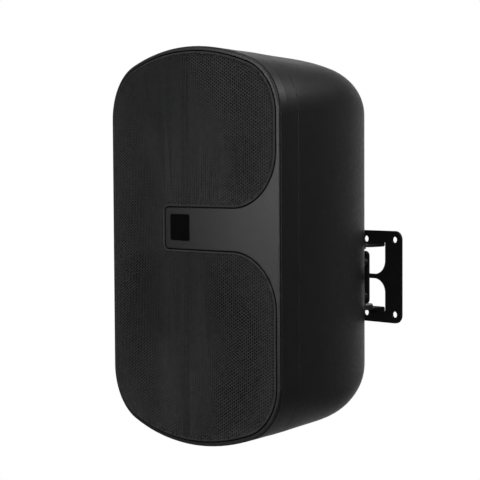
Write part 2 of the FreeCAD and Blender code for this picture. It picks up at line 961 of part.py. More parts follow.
def make_lever(side):
    x = side * bay_x
    half = lever_w / 2
    pin_half = bay_w / 2 + lever_pin_len
    arm = block(x - half, x + half, lever_depth - lever_t / 2, lever_depth + lever_t / 2,
                lever_z - lever_drop, lever_z + lever_t / 2)
    finger = block(x - half, x + half, lever_depth, cab_depth,
                   lever_z - lever_drop, lever_z - lever_drop + finger_h)
    pin_start = V(x - pin_half, lever_depth, lever_z)
    pin = Part.makeCylinder(lever_pin_r, 2 * pin_half, pin_start, V(1, 0, 0))
    return fused([arm, finger, pin])


def make_contacts():
    contacts = []
    for side in (-1, 1):
        x = side * bay_x
        low = terminal_z - cup_h / 2 + cup_wall + guide_h
        strip = block(x - contact_w / 2, x + contact_w / 2, cup_floor, cup_floor + contact_t,
                      low, terminal_z + contact_rise)
        tag = block(x - contact_w / 2, x + contact_w / 2, cup_floor - contact_len, cup_floor,
                    terminal_z, terminal_z + contact_t)
        contacts.append(fused([strip, tag]))
    return group(contacts)


def make_terminal_screws():
    out = cab_depth + terminal_t
    screws = []
    for x, z in terminal_places:
        shank = rod(terminal_screw_r - thread_gap, cab_depth - shell_wall, out, x, z)
        screws.append(shank.fuse(rod(terminal_head_r, out, out + terminal_head, x, z)))
    return group(screws)


# Bracket, in the wall's own frame

swivel_top = ear_in - slip_gap
swivel_low = -(ear_in - thrust_t - slip_gap)
web_back = -pivot_out - swivel_out
web_front = web_back - swivel_t


def pillar(radius, low, high):
    """Upright cylinder on the pivot axis."""
    return Part.makeCylinder(radius, high - low, V(0, -pivot_out, low), UP)


def edges_along(shape, direction, test):
    found = []
    for edge in shape.Edges:
        middle = edge.valueAt((edge.FirstParameter + edge.LastParameter) / 2)
        straight = abs(edge.tangentAt(edge.FirstParameter).dot(direction)) > 0.99
        if straight and test(middle):
            found.append(edge)
    return found


def make_wall_plate():
    plate = rounded_plate(plate_size, plate_size, plate_corner, -plate_t, 0.0)
    half = ear_w / 2
    window = half + relief_w
    relief_end = ear_in + relief_h
    parts = [plate]
    cuts = []
    for end in (-1, 1):
        near, far = sorted((end * strip_h / 2, end * ear_in))
        opening = block(-window, window, -plate_t - 1, 1, near, far)
        inner = edges_along(opening, BACK, lambda point: abs(point.z) < ear_in / 2)
        cuts.append(opening.makeFillet(ear_corner, inner))
        for side in (-1, 1):
            x0, x1 = sorted((side * half, side * window))
            z0, z1 = sorted((end * (ear_in - 1), end * relief_end))
            cuts.append(block(x0, x1, -plate_t - 1, 1, z0, z1))
            cuts.append(rod(relief_w / 2, -plate_t - 1, 1, (x0 + x1) / 2, end * relief_end))
        low, high = sorted((end * ear_in, end * (ear_in + plate_t)))
        ear = block(-half, half, -plate_t - ear_len, 0, low, high)
        tips = edges_along(ear, UP, lambda point: point.y < -plate_t)
        parts.append(ear.makeFillet(ear_corner, tips))
        hole_z = end * wall_hole_pitch / 2
        for column in (-1, 0, 1):
            cuts.append(rod(wall_hole_r, -plate_t - 1, 1, column * wall_hole_pitch / 2, hole_z))
    plate = parts[0].cut(group(cuts))
    plate = fused([plate] + parts[1:])
    bends = edges_along(plate, V(1, 0, 0), lambda point: math.hypot(point.y, abs(point.z) - ear_in) < 0.01)
    plate = plate.makeFillet(plate_bend, bends)
    return plate.cut(pillar(pivot_r + hole_gap / 2, -plate_size, plate_size))


def make_swivel_bracket():
    middle = (swivel_top + swivel_low) / 2
    web = rounded_plate(swivel_w, swivel_h, swivel_corner, web_front, web_back, 0, middle)
    channel = block(-swivel_ear_r, swivel_ear_r, web_front, -pivot_out, swivel_low, swivel_top)
    room = block(-swivel_w, swivel_w, web_back, 0, swivel_low + swivel_t, swivel_top - swivel_t)
    bends = edges_along(channel, V(1, 0, 0), lambda point: point.y < web_back)
    channel = channel.makeFillet(swivel_bend, bends).cut(room)
    ends = [pillar(swivel_ear_r, swivel_low, swivel_low + swivel_t),
            pillar(swivel_ear_r, swivel_top - swivel_t, swivel_top)]
    bracket = fused([web, channel] + ends)
    bracket = bracket.cut(pillar(pivot_r + pivot_gap, -plate_size, plate_size))
    for x, z in stud_places:
        bracket = bracket.cut(rod(stud_r + hole_gap, web_front - 1, web_back + 1, x, z + bracket_drop))
    return bracket


def hexagon(flat, low, high):
    radius = flat / math.sqrt(3)
    corners = []
    for step in range(6):
        angle = math.radians(60 * step)
        corners.append(V(radius * math.cos(angle), radius * math.sin(angle) - pivot_out, low))
    return Part.Face(Part.makePolygon(corners + corners[:1])).extrude(V(0, 0, high - low))


ear_out = ear_in + plate_t
nut_top = swivel_top - swivel_t - slip_gap
nut_low = swivel_low + swivel_t + slip_gap


def make_pivot_bolts():
    seat = ear_out + washer_t
    upper_stem = pillar(pivot_r, nut_top - nut_t - bolt_past, seat)
    lower_stem = pillar(pivot_r, -seat, nut_low + nut_t + bolt_past)
    upper = hexagon(bolt_flat, seat, seat + bolt_head).fuse(upper_stem)
    lower = hexagon(bolt_flat, -seat - bolt_head, -seat).fuse(lower_stem)
    return group([upper, lower])


def make_pivot_nuts():
    bore = pillar(pivot_r, -plate_size, plate_size)
    return group([hexagon(bolt_flat, nut_top - nut_t, nut_top).cut(bore),
                  hexagon(bolt_flat, nut_low, nut_low + nut_t).cut(bore)])


def make_pivot_washers():
    bore = pillar(pivot_r + hole_gap, -plate_size, plate_size)
    return group([pillar(washer_r, ear_out, ear_out + washer_t).cut(bore),
                  pillar(washer_r, -ear_out - washer_t, -ear_out).cut(bore)])


def make_thrust_washer():
    low = -ear_in
    return pillar(thrust_r, low, low + thrust_t).cut(pillar(pivot_r + hole_gap, low, low + thrust_t))


def make_bracket_screws():
    seat = cab_depth + rib_out + swivel_t
    screws = []
    for x, z in stud_places:
        shank = rod(stud_r, seat - swivel_t - insert_len, seat, x, z)
        screws.append(shank.fuse(rod(stud_head_r, seat, seat + stud_head, x, z)))
    return group(screws)


def make_inserts():
    end = cab_depth + rib_out
    inserts = []
    for x, z in stud_places:
        inserts.append(tube(insert_r, stud_r + thread_gap, end - insert_len, end, x, z))
    return group(inserts)


def save(name, shape, moved):
    if moved:
        shape = shape.copy()
        shape.translate(V(0, -wall_dist, bracket_drop))
    shape.exportStep("parts/" + name + ".step")


speaker_parts = {
    "rear_shell": make_rear_shell,
    "front_ring": make_front_ring,
    "cabinet_gasket": make_cabinet_gasket,
    "baffle": make_baffle,
    "grille": make_grille,
    "badge": make_badge,
    "case_screws": make_case_screws,
    "damping_pad": make_damping_pad,
    "woofer_basket": make_woofer_basket,
    "woofer_gasket": make_woofer_gasket,
    "woofer_surround": make_woofer_surround,
    "woofer_cone": make_woofer_cone,
    "woofer_dust_cap": make_dust_cap,
    "woofer_former": make_former,
    "woofer_coil": make_coil,
    "woofer_spider": make_spider,
    "woofer_top_plate": make_top_plate,
    "woofer_magnet": make_magnet,
    "woofer_back_plate": make_back_plate,
    "woofer_tags": make_woofer_tags,
    "woofer_screws": make_woofer_screws,
    "tweeter_plate": make_tweeter_plate,
    "tweeter_dome": make_dome,
    "tweeter_surround": make_tweeter_surround,
    "tweeter_coil": make_tweeter_coil,
    "tweeter_top_plate": make_tweeter_top_plate,
    "tweeter_magnet": make_tweeter_magnet,
    "tweeter_back_plate": make_tweeter_back_plate,
    "tweeter_screws": make_tweeter_screws,
    "crossover_board": make_board,
    "crossover_inductors": make_inductors,
    "crossover_capacitors": make_capacitors,
    "crossover_resistor": make_resistor,
    "crossover_screws": make_board_screws,
    "terminal_cup": make_terminal_cup,
    "terminal_contacts": make_contacts,
    "terminal_screws": make_terminal_screws,
    "bracket_screws": make_bracket_screws,
    "bracket_inserts": make_inserts,
}
wall_parts = {
    "wall_plate": make_wall_plate,
    "swivel_bracket": make_swivel_bracket,
    "pivot_bolts": make_pivot_bolts,
    "pivot_nuts": make_pivot_nuts,
    "pivot_washers": make_pivot_washers,
    "thrust_washer": make_thrust_washer,
}

os.makedirs("parts", exist_ok=True)
for name, maker in speaker_parts.items():
    save(name, maker(), True)
save("lever_left", make_lever(-1), True)
save("lever_right", make_lever(1), True)
for name, maker in wall_parts.items():
    save(name, maker(), False)
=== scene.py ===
import json
import math

import bmesh
import bpy
import numpy as np
from mathutils import Matrix, Vector
from mathutils.geometry import delaunay_2d_cdt


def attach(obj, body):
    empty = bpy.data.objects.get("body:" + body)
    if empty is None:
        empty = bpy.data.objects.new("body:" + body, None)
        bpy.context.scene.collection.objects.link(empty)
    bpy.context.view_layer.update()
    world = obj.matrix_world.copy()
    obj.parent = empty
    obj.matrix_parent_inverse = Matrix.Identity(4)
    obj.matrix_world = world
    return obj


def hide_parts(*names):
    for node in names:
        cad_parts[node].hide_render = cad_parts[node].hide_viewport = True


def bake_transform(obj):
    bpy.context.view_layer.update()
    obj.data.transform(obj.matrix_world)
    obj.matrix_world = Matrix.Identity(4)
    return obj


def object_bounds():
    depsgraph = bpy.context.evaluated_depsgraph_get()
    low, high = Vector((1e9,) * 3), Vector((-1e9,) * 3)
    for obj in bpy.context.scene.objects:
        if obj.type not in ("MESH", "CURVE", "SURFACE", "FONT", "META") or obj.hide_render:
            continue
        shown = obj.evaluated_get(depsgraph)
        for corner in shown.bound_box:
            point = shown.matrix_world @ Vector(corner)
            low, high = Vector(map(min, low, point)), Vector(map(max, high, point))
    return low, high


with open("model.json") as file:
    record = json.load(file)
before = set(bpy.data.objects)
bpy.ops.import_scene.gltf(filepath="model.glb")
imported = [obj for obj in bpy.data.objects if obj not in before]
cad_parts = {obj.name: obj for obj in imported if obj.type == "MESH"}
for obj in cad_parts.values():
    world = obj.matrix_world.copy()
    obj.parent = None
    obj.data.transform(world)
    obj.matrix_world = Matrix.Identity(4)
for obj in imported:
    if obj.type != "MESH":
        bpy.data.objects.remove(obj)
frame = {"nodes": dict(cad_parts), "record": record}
cad_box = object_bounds()

MM_PER_M = 1000.0
SHARP_ANGLE = math.radians(40)

# Sizes of the front, in millimetres, as in the part's source
FACE_W = 239.2
FACE_H = 381.0
CROWN_R = 249.0
CORNER_R = 54.7
BOW = 6.0
RIM_W = 3.0
TAB_LEFT = -31.0
TAB_LOW = -2.0
TAB_TOP = 37.4
TAB_CORNER = 4.2
LOBE_R = 53.4
GRILLE_GAP = 1.15
GRILLE_LIP = 6.9
GRILLE_PROUD = 1.0
SHEET_T = 1.0
WALL_DIST = 261.7
BRACKET_DROP = 41.9
BOW_R = ((FACE_W / 2) ** 2 + BOW ** 2) / (2 * BOW)

# Heights of the drivers' axes, in millimetres, and the sectors their soft rings are cut into
WOOFER_Z = -52.6
TWEETER_Z = 152.35
SURROUND_SECTORS = 8
SPIDER_SECTORS = 6
TWEETER_SECTORS = 8

# Perforation of the sheet, in millimetres
PITCH = 3.0
COLUMN = PITCH * math.sqrt(3) / 2
CELL_R = PITCH / math.sqrt(3)
HOLE_R = 1.3
EDGE_LAND = 0.25
FOLD_R = 1.0
FOLD_STEPS = 4
OUTLINE_STEP = 1.5

# Steps of the sheet's map over the fold and the lip, in millimetres, and its share of a hole behind
MAP_FOLD_STEP = 0.6
MAP_LIP_STEP = 0.3
MAP_HOLE_SHARE = 0.7

# Floor, in metres, and light
FLOOR_DROP = 1.0
FLOOR_SIZE = 3.2
FLOOR_GREY = 0.5
AMBIENT = 0.07
WHITE = 1.0
MIDDLE = (0.0, -0.15, 0.04)

# Camera, in degrees, metres and millimetres of focal length
YAW = 46.5
PITCH_DOWN = 2.832
ROLL = -0.312
TARGET = Vector((0.0746, -0.2617, 0.0508))
DISTANCE = 1.324
LENS = 107.72
SENSOR = 36.0

# Materials, with lengths in metres
SOFT_EDGE = 0.0008
# Depths behind the bowed front over which the recess colour darkens into painted shade
RECESS_FROM = 0.001
RECESS_TO = 0.004

# Span of a pattern's values that a colour or roughness is spread over, and a wave's bands to a unit
PATTERN_LOW = 0.3
PATTERN_HIGH = 0.7
WAVE_SCALE = 0.314


class Look:
    """A procedural material, with its patterns read in the object's own metres."""

    def __init__(self, name, metallic=0.0, specular=0.5, coat=0.0):
        self.material = bpy.data.materials.new(name)
        self.material.use_nodes = True
        self.tree = self.material.node_tree
        self.shader = self.tree.nodes["Principled BSDF"]
        self.shader.inputs["Metallic"].default_value = metallic
        self.shader.inputs["Specular IOR Level"].default_value = specular
        self.shader.inputs["Coat Weight"].default_value = coat
        self.place = self.node("ShaderNodeTexCoord").outputs["Object"]

    def node(self, kind, **settings):
        made = self.tree.nodes.new(kind)
        for key, value in settings.items():
            setattr(made, key, value)
        return made

    def link(self, source, target):
        self.tree.links.new(source, target)

    def stretched(self, x, y, z):
        """Coordinates with each axis scaled."""
        mapping = self.node("ShaderNodeMapping")
        mapping.inputs["Scale"].default_value = (x, y, z)
        self.link(self.place, mapping.inputs["Vector"])
        return mapping.outputs["Vector"]

    def noise(self, size, detail=2.0, place=None):
        """Noise with features of about this size in metres."""
        made = self.node("ShaderNodeTexNoise")
        made.inputs["Scale"].default_value = 1.0 / size
        made.inputs["Detail"].default_value = detail
        self.link(place or self.place, made.inputs["Vector"])
        return made.outputs["Fac"]

    def cells(self, size):
        made = self.node("ShaderNodeTexVoronoi")
        made.inputs["Scale"].default_value = 1.0 / size
        self.link(self.place, made.inputs["Vector"])
        return made.outputs["Distance"]

    def bands(self, axis, pitch, distortion=0.0):
        made = self.node("ShaderNodeTexWave", bands_direction=axis)
        made.inputs["Scale"].default_value = WAVE_SCALE / pitch
        made.inputs["Distortion"].default_value = distortion
        self.link(self.place, made.inputs["Vector"])
        return made.outputs["Fac"]

    def math(self, operation, a, b):
        made = self.node("ShaderNodeMath", operation=operation)
        for socket, value in zip(made.inputs, (a, b)):
            if isinstance(value, float):
                socket.default_value = value
            else:
                self.link(value, socket)
        return made.outputs["Value"]

    def colour(self, amount, dark, light):
        ramp = self.node("ShaderNodeValToRGB")
        ramp.color_ramp.elements[0].position = PATTERN_LOW
        ramp.color_ramp.elements[1].position = PATTERN_HIGH
        ramp.color_ramp.elements[0].color = (*dark, 1.0)
        ramp.color_ramp.elements[1].color = (*light, 1.0)
        self.link(amount, ramp.inputs["Fac"])
        self.link(ramp.outputs["Color"], self.shader.inputs["Base Color"])

    def rough(self, amount, low, high):
        spread = self.node("ShaderNodeMapRange")
        spread.inputs["From Min"].default_value = PATTERN_LOW
        spread.inputs["From Max"].default_value = PATTERN_HIGH
        spread.inputs["To Min"].default_value = low
        spread.inputs["To Max"].default_value = high
        self.link(amount, spread.inputs["Value"])
        self.link(spread.outputs["Result"], self.shader.inputs["Roughness"])

    def bump(self, height, depth, edge=0.0):
        """Relief of a height pattern, with outer edges softened to a radius."""
        made = self.node("ShaderNodeBump")
        made.inputs["Distance"].default_value = depth
        if edge > 0.0:
            soft = self.node("ShaderNodeBevel")
            soft.inputs["Radius"].default_value = edge
            self.link(soft.outputs["Normal"], made.inputs["Normal"])
        self.link(height, made.inputs["Height"])
        self.link(made.outputs["Normal"], self.shader.inputs["Normal"])


def tint(colour, factor):
    return tuple(min(1.0, c * factor) for c in colour)


def moulded(name, colour, low, high, grain, depth, specular=0.5):
    """Moulded plastic with a fine eroded grain."""
    look = Look(name, specular=specular)
    look.colour(look.noise(0.02, 4.0), tint(colour, 0.85), tint(colour, 1.15))
    look.rough(look.noise(0.004, 4.0), low, high)
    look.bump(look.noise(grain, 3.0), depth, SOFT_EDGE)
    return look.material


def coated(name, colour, low, high, specular=0.4):
    """Powder coat on metal, with its orange peel."""
    look = Look(name, specular=specular)
    look.colour(look.noise(0.006, 3.0), tint(colour, 0.85), tint(colour, 1.2))
    look.rough(look.noise(0.002, 3.0), low, high)
    look.bump(look.noise(0.0009, 2.0), 0.00003)
    return look.material


def front_with_painted_recess_shade(name, colour, inside, low, high, grain, depth):
    """Moulded front whose recess behind the grille is matt, with painted shade: its colour darkens to
    near black with depth behind the bowed front.
    """
    look = Look(name, specular=0.25)
    parts = look.node("ShaderNodeSeparateXYZ")
    look.link(look.place, parts.inputs["Vector"])
    bowed = look.math("MULTIPLY", look.math("MULTIPLY", parts.outputs["X"], parts.outputs["X"]),
                      MM_PER_M / (2 * BOW_R))
    behind = look.math("ADD", look.math("SUBTRACT", parts.outputs["Y"], bowed), WALL_DIST / MM_PER_M)
    front = look.node("ShaderNodeMapRange")
    front.inputs["From Min"].default_value = RECESS_FROM
    front.inputs["From Max"].default_value = RECESS_TO
    front.inputs["To Min"].default_value = 1.0
    front.inputs["To Max"].default_value = 0.0
    look.link(behind, front.inputs["Value"])
    patches = look.math("ADD", look.math("MULTIPLY", look.noise(0.02, 4.0), 0.3), 0.5)
    # The colour fades from the front's tone into painted shade deeper in the recess
    look.colour(look.math("MULTIPLY", front.outputs["Result"], patches), inside, tint(colour, 1.15))
    sheen = look.math("ADD", look.math("MULTIPLY", look.noise(0.004, 4.0), 0.12), 0.62)
    dull = look.math("SUBTRACT", 1.0, look.math("MULTIPLY", front.outputs["Result"], sheen))
    look.rough(dull, low, high)
    look.bump(look.noise(grain, 3.0), depth, SOFT_EDGE)
    return look.material


def glossy(name, colour, low, high, specular=0.5):
    """Polished moulding with a faint flow in it."""
    look = Look(name, specular=specular)
    look.colour(look.noise(0.008, 3.0), tint(colour, 0.9), tint(colour, 1.1))
    look.rough(look.noise(0.003, 4.0), low, high)
    look.bump(look.noise(0.004, 1.0), 0.00001)
    return look.material


def metal(name, colour, low, high, stretch=(1.0, 1.0, 1.0)):
    """Bare or plated metal with fine drawn marks."""
    look = Look(name, metallic=1.0)
    marks = look.noise(0.0008, 4.0, look.stretched(*stretch))
    look.colour(look.noise(0.005, 3.0), tint(colour, 0.85), tint(colour, 1.08))
    look.rough(marks, low, high)
    look.bump(marks, 0.000006)
    return look.material


def winding(name, colour, pitch):
    """Close turns of enamelled wire about the depth axis."""
    look = Look(name, metallic=0.9, coat=0.3)
    turns = look.bands("Y", pitch)
    look.colour(turns, tint(colour, 0.45), colour)
    look.rough(look.noise(0.001, 2.0), 0.25, 0.4)
    look.bump(turns, 0.00012)
    return look.material


def woven(name, colour, thread):
    """Plain weave of two sets of threads, sized with resin."""
    look = Look(name, specular=0.25)
    weave = look.math("MULTIPLY", look.bands("X", thread, 0.4), look.bands("Z", thread, 0.4))
    look.colour(look.math("ADD", weave, look.math("MULTIPLY", look.noise(0.01), 0.3)),
                tint(colour, 0.55), tint(colour, 1.2))
    look.rough(look.noise(0.002), 0.6, 0.85)
    look.bump(weave, 0.00012)
    return look.material


def pulp(name, colour):
    """Pressed paper pulp with a thin coating."""
    look = Look(name, specular=0.35)
    fibres = look.noise(0.0016, 6.0, look.stretched(1.0, 1.0, 0.35))
    look.colour(fibres, tint(colour, 0.7), tint(colour, 1.35))
    look.rough(look.noise(0.003, 3.0), 0.5, 0.72)
    look.bump(fibres, 0.0002)
    return look.material


def foam(name, colour, cell):
    look = Look(name, specular=0.3)
    pores = look.cells(cell)
    look.colour(pores, tint(colour, 0.6), tint(colour, 1.2))
    look.rough(look.noise(0.004), 0.7, 0.9)
    look.bump(pores, 0.00015)
    return look.material


def fibrous(name, colour):
    """Loose polyester wadding."""
    look = Look(name, specular=0.1)
    strands = look.noise(0.006, 9.0, look.stretched(1.0, 1.0, 0.3))
    look.colour(strands, tint(colour, 0.6), tint(colour, 1.1))
    look.rough(look.noise(0.01), 0.85, 1.0)
    look.bump(strands, 0.002)
    return look.material


def board(name, colour):
    """Lacquered board with etched tracks under the lacquer."""
    look = Look(name, coat=0.4)
    tracks = look.math("GREATER_THAN", look.bands("X", 0.009, 3.0), 0.72)
    look.colour(tracks, colour, tint(colour, 2.1))
    look.rough(look.noise(0.002), 0.25, 0.4)
    look.bump(tracks, 0.00004)
    return look.material


def speckled(name, colour, low, high):
    """Fired or pressed powder with specks."""
    look = Look(name, specular=0.35)
    specks = look.cells(0.0006)
    look.colour(specks, tint(colour, 0.7), tint(colour, 1.15))
    look.rough(look.noise(0.002, 3.0), low, high)
    look.bump(look.noise(0.0007, 3.0), 0.00008)
    return look.material


BLACK = (0.007, 0.007, 0.0074)
# Near-black painted shade for the recess behind the grille and for the sheet's hole walls, back and lip
SHADE_BLACK = (0.002, 0.002, 0.002)
looks = {
    "black_plastic": moulded("black_plastic", BLACK, 0.36, 0.46, 0.0006, 0.00004, 0.32),
    "black_sheet": coated("black_sheet", (0.026, 0.026, 0.0265), 0.6, 0.72, 0.12),
    "gloss_badge": glossy("gloss_badge", (0.001, 0.001, 0.0012), 0.16, 0.24, 0.08),
    "black_steel": coated("black_steel", (0.003, 0.003, 0.003), 0.5, 0.65, 0.25),
    "foam_rubber": foam("foam_rubber", (0.012, 0.012, 0.012), 0.0009),
    "black_zinc": metal("black_zinc", (0.03, 0.03, 0.032), 0.35, 0.55),
    "brass": metal("brass", (0.72, 0.5, 0.22), 0.25, 0.4),
    "wadding": fibrous("wadding", (0.74, 0.73, 0.69)),
    "paper_cone": pulp("paper_cone", (0.018, 0.018, 0.018)),
    "aluminium_former": metal("aluminium_former", (0.75, 0.75, 0.77), 0.25, 0.4, (1.0, 0.1, 1.0)),
    "copper_wire": winding("copper_wire", (0.62, 0.27, 0.12), 0.0004),
    "cloth": woven("cloth", (0.09, 0.07, 0.045), 0.0006),
    "plated_steel": metal("plated_steel", (0.58, 0.58, 0.55), 0.3, 0.45),
    "ferrite": speckled("ferrite", (0.045, 0.045, 0.048), 0.6, 0.8),
    "moulded_plate": moulded("moulded_plate", (0.016, 0.016, 0.017), 0.3, 0.4, 0.0005, 0.00003),
    "circuit_board": board("circuit_board", (0.03, 0.16, 0.07)),
    "capacitor_film": glossy("capacitor_film", (0.45, 0.3, 0.05), 0.18, 0.3),
    "ceramic": speckled("ceramic", (0.7, 0.69, 0.65), 0.7, 0.9),
    "red_lever": glossy("red_lever", (0.42, 0.015, 0.015), 0.2, 0.3),
    "black_lever": glossy("black_lever", (0.01, 0.01, 0.01), 0.2, 0.3),
    "dark_nylon": moulded("dark_nylon", (0.03, 0.03, 0.03), 0.35, 0.45, 0.001, 0.00003),
}
slots = {subpart["node"]: subpart["material_slot"] for subpart in frame["record"]["subparts"]}
for name, slot_name in slots.items():
    node = frame["nodes"][name]
    look = looks[slot_name]
    if not node.material_slots:
        node.data.materials.append(look)
    for slot in node.material_slots:
        slot.material = look
# The baffle's recess behind the grille gets painted shade, darker with depth
for slot in frame["nodes"]["baffle"].material_slots:
    slot.material = front_with_painted_recess_shade("black_front_painted_shade", BLACK, SHADE_BLACK, 0.36, 0.9, 0.0006, 0.00004)


# Perforated grille: a field of holes in three closed pieces, and a folded edge with the last holes

def arc_points(centre, radius, start, end):
    steps = max(2, int(radius * math.radians(abs(end - start)) / OUTLINE_STEP))
    angles = np.radians(np.linspace(start, end, steps + 1)[:-1])
    return np.stack([centre[0] + radius * np.cos(angles), centre[1] + radius * np.sin(angles)], 1)


def run_points(a, b):
    a = np.array(a)
    b = np.array(b)
    steps = max(1, int(np.linalg.norm(b - a) / OUTLINE_STEP))
    return a + (b - a) * np.linspace(0, 1, steps + 1)[:-1, None]


def grille_outline(inset):
    """Points round the C-shaped pan, counter-clockwise as seen from the front."""
    edge = RIM_W + GRILLE_GAP + inset
    side = inset + GRILLE_GAP
    half_w = FACE_W / 2 - edge
    crown = CROWN_R - edge
    corner = CORNER_R - edge
    crown_z = FACE_H / 2 - edge - crown
    rise = math.sqrt((crown - corner) ** 2 - (half_w - corner) ** 2)
    corner_z = crown_z + rise
    turn = math.degrees(math.atan2(rise, half_w - corner))
    middle = half_w - corner
    top = TAB_TOP + side
    low = TAB_LOW - side
    left = TAB_LEFT - side
    small = TAB_CORNER + side
    lobe = LOBE_R - side
    lobe_x = half_w - lobe
    return np.concatenate([
        run_points((half_w, top + lobe), (half_w, corner_z)),
        arc_points((middle, corner_z), corner, 0, turn),
        arc_points((0, crown_z), crown, turn, 180 - turn),
        arc_points((-middle, corner_z), corner, 180 - turn, 180),
        run_points((-half_w, corner_z), (-half_w, -corner_z)),
        arc_points((-middle, -corner_z), corner, 180, 180 + turn),
        arc_points((0, -crown_z), crown, 180 + turn, 360 - turn),
        arc_points((middle, -corner_z), corner, 360 - turn, 360),
        run_points((half_w, -corner_z), (half_w, low - lobe)),
        arc_points((lobe_x, low - lobe), lobe, 0, 90),
        run_points((lobe_x, low), (left + small, low)),
        arc_points((left + small, low + small), small, 270, 180),
        run_points((left, low + small), (left, top - small)),
        arc_points((left + small, top - small), small, 180, 90),
        run_points((left + small, top), (lobe_x, top)),
        arc_points((lobe_x, top + lobe), lobe, 270, 360),
    ])


def inside(points, loop):
    """Whether each point lies in the loop, by counting the edges to its right."""
    x0, z0 = loop.T
    x1, z1 = np.roll(loop, -1, 0).T
    count = np.zeros(len(points), int)
    for ax, az, bx, bz in zip(x0, z0, x1, z1):
        spans = (az > points[:, 1]) != (bz > points[:, 1])
        if az != bz:
            crossing = ax + (points[:, 1] - az) * (bx - ax) / (bz - az)
            count += spans & (points[:, 0] < crossing)
    return count % 2 == 1


def on_bow(points, depth):
    """Places in the frame, in metres, of front-view points at a depth behind the sheet's front."""
    x, z = points[:, 0], points[:, 1]
    y = BOW_R - np.sqrt(BOW_R ** 2 - x ** 2) + depth - GRILLE_PROUD
    return np.stack([x, y - WALL_DIST, z + BRACKET_DROP], 1) / MM_PER_M


# Near-black painted shade for the sheet's hole walls, back faces and lip, though they are the same coat
# as the front
sheet_painted_shade = coated("black_sheet_painted_shade", SHADE_BLACK, 0.9, 1.0, 0.0)


def make_piece(name, points, faces, flat, slot, n_front):
    """A mesh object on the speaker, whose first faces are its front, with its front-view places as its
    map. Its other faces, the hole walls, back and lip, get a near-black painted shade."""
    mesh = bpy.data.meshes.new(name)
    mesh.from_pydata(points, [], faces)
    mesh.validate()
    corners = np.zeros(len(mesh.loops), int)
    mesh.loops.foreach_get("vertex_index", corners)
    places = (flat / np.array([FACE_W, FACE_H]) + 0.5)[corners]
    layer = mesh.uv_layers.new(name="OFBake")
    layer.uv.foreach_set("vector", places.astype(np.float32).ravel())
    mesh.shade_smooth()
    mesh.set_sharp_from_angle(angle=SHARP_ANGLE)
    mesh.materials.append(looks[slot])
    mesh.materials.append(sheet_painted_shade)
    # Faces behind the front take the painted-shade material
    painted_shade_faces = np.arange(len(mesh.polygons)) >= n_front
    mesh.polygons.foreach_set("material_index", painted_shade_faces.astype(np.int32))
    piece = bpy.data.objects.new(name, mesh)
    bpy.context.scene.collection.objects.link(piece)
    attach(piece, "speaker")
    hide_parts("grille")


hexagon = np.radians(np.arange(6) * 60)
hexagon = np.stack([np.cos(hexagon), np.sin(hexagon)], 1)
sheet_edge = grille_outline(FOLD_R)
columns = int(FACE_W / 2 / COLUMN) + 1
rows = int(FACE_H / 2 / PITCH) + 1
centres = []
for column in range(-columns, columns + 1):
    for row in range(-rows, rows + 1):
        centres.append((column * COLUMN, (row + 0.5 * (column % 2)) * PITCH))
centres = np.array(centres)
corners = centres[:, None, :] + CELL_R * hexagon
whole = inside(corners.reshape(-1, 2), sheet_edge).reshape(-1, 6).all(1)
reach = centres[:, None, :] + (HOLE_R + EDGE_LAND) * hexagon
fits = inside(reach.reshape(-1, 2), sheet_edge).reshape(-1, 6).all(1)
margin_holes = centres[fits & ~whole][:, None, :] + HOLE_R * hexagon
centres = centres[whole]
corners = corners[whole]
keys = np.round(corners.reshape(-1, 2) * 1000).astype(int)
keys, at = np.unique(keys, axis=0, return_inverse=True)
lattice = np.zeros((len(keys), 2))
lattice[at.ravel()] = corners.reshape(-1, 2)
cells = at.reshape(-1, 6)


def border(cell_rows):
    """Edges with a cell on one side only, in the cells' own direction."""
    edges = np.stack([cell_rows, np.roll(cell_rows, -1, 1)], 2).reshape(-1, 2)
    order = np.sort(edges, 1)
    _, place, count = np.unique(order, axis=0, return_inverse=True, return_counts=True)
    return edges[count[place.ravel()] == 1]


def make_field(name, cell_rows, middles):
    """A closed piece of the sheet, made of whole cells with a hole in each."""
    used, local = np.unique(cell_rows, return_inverse=True)
    local = local.reshape(-1, 6)
    outer = lattice[used]
    hole = (middles[:, None, :] + HOLE_R * hexagon).reshape(-1, 2)
    n_outer, n_hole = len(outer), len(hole)
    points = np.concatenate([on_bow(outer, 0.0), on_bow(hole, 0.0),
                             on_bow(outer, SHEET_T), on_bow(hole, SHEET_T)])
    narrow = middles[:, None, :] + MAP_HOLE_SHARE * HOLE_R * hexagon
    flat = np.concatenate([outer, hole, outer, narrow.reshape(-1, 2)])
    rim = n_outer + np.arange(n_hole).reshape(-1, 6)
    back = n_outer + n_hole
    next_local = np.roll(local, -1, 1)
    next_rim = np.roll(rim, -1, 1)
    faces = [
        np.stack([local, next_local, next_rim, rim], 2),
        np.stack([rim, next_rim, next_rim + back, rim + back], 2),
        np.stack([next_local, local, rim, next_rim], 2) + back,
    ]
    faces = np.concatenate([part.reshape(-1, 4) for part in faces])
    walls = border(local)
    walls = np.stack([walls[:, 1], walls[:, 0], walls[:, 0] + back, walls[:, 1] + back], 1)
    make_piece(name, points, np.concatenate([faces, walls]).tolist(), flat, "black_sheet", local.size)


cuts = np.quantile(centres[:, 1], (1 / 3, 2 / 3))
for name, low, high in (("grille_lower", -FACE_H, cuts[0]), ("grille_middle", cuts[0], cuts[1]),
                        ("grille_upper", cuts[1], FACE_H)):
    chosen = (centres[:, 1] > low) & (centres[:, 1] <= high)
    make_field(name, cells[chosen], centres[chosen])


def oriented(faces, points):
    """Triangles turned counter-clockwise in the front view."""
    turned = []
    for a, b, c in faces:
        ab = points[b] - points[a]
        ac = points[c] - points[a]
        turned.append([a, b, c] if ab[0] * ac[1] > ab[1] * ac[0] else [a, c, b])
    return turned


